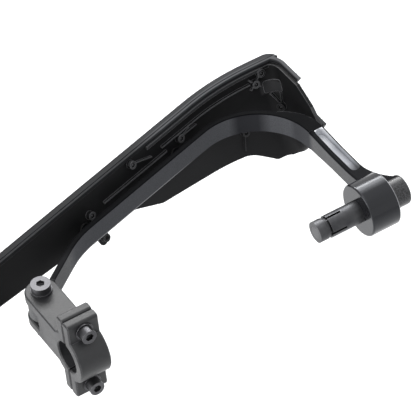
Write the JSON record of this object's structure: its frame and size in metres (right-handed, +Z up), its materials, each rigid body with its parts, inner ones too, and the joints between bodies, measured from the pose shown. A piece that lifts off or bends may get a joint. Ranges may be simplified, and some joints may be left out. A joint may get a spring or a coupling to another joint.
{
  "type": "motorcycle hand guard",
  "caption": "Closed-loop hand guard for the right handlebar end: a channelled alloy backbone from bar end to bar clamp, carrying a ribbed plastic shield with a cover.",
  "frame": {"origin": "on the handlebar's axis, at the bar's open end, which is the inner face of the bar end weight", "axes": "+X along the bar and outboard, +Y forward as the motorcycle rides, +Z up"},
  "size_m": [0.2749, 0.164, 0.0764],
  "materials": {
    "forged_alloy": "dark grey satin anodised",
    "black_weight": "gloss black",
    "dark_steel": "black zinc",
    "bright_alloy": "machined",
    "shield_plastic": "matte black moulding",
    "cover_plastic": "fine-grained black moulding",
    "black_rubber": "plain",
    "clamp_alloy": "satin black cast alloy"
  },
  "bodies": {
    "root": {"backbone": "forged_alloy", "bar_end_weight": "black_weight", "bar_end_bolt": "dark_steel", "bar_end_washer": "dark_steel", "expander_sleeve": "bright_alloy", "expander_cone": "bright_alloy", "shield": "shield_plastic", "upper_cover": "cover_plastic", "cover_screws": "dark_steel", "shield_bolts": "dark_steel", "shield_washers": "dark_steel", "rubber_washers": "black_rubber", "clamp_body": "clamp_alloy", "clamp_cap": "clamp_alloy", "clamp_bolts": "dark_steel", "clamp_washers": "dark_steel", "pivot_bolt": "dark_steel", "pivot_head_washer": "dark_steel", "pivot_nut_washer": "dark_steel", "pivot_nut": "dark_steel"}
  },
  "joints": []
}
